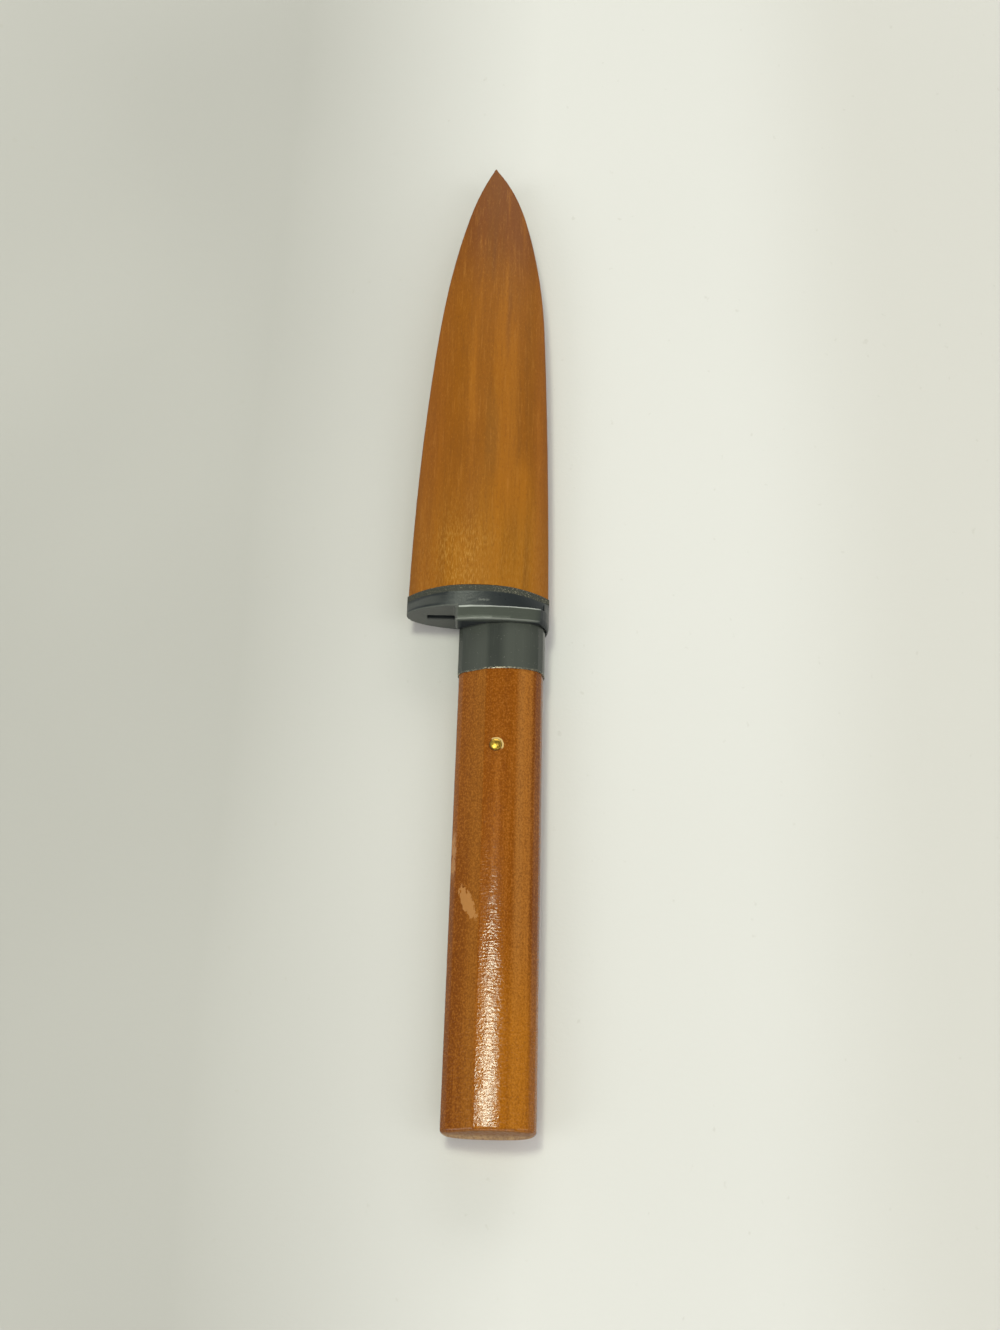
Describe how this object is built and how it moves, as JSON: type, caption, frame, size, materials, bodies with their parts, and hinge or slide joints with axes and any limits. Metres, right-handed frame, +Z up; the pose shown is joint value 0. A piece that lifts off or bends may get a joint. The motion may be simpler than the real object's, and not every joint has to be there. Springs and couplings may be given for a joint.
{
  "type": "kitchen knife blade guard with its knife",
  "caption": "Lens-shaped wooden blade guard with a black mouth collar, holding its slim kitchen knife; the knife draws out of the guard along its length.",
  "frame": {"origin": "on the resting surface, under the middle of the whole object", "axes": "+Y from the handle to the guard's point, +Z up through the flat of the blade, +X towards the blade's spine"},
  "size_m": [0.034, 0.2588, 0.0146],
  "materials": {
    "sheath_wood": "thin amber varnish over straight fine grain, satin",
    "collar_plastic": "moulded black plastic, glossy, with a dull sanded rim",
    "blade_steel": "stainless, satin ground bevels",
    "ferrule_plastic": "moulded black plastic, semi-gloss, lightly scratched",
    "handle_wood": "glossy amber varnish, worn and chipped in places",
    "pin_brass": "domed and peened, lightly tarnished"
  },
  "bodies": {
    "guard": {"sheath_upper_half": "sheath_wood", "sheath_lower_half": "sheath_wood", "mouth_collar": "collar_plastic"},
    "knife": {"blade": "blade_steel", "ferrule": "ferrule_plastic", "handle": "handle_wood", "brass_pin": "pin_brass"}
  },
  "joints": [
    {"name": "knife_draw", "type": "slide", "parent": "guard", "child": "knife", "axis": [0, -1, 0], "range_m": [0, 0.132]}
  ]
}
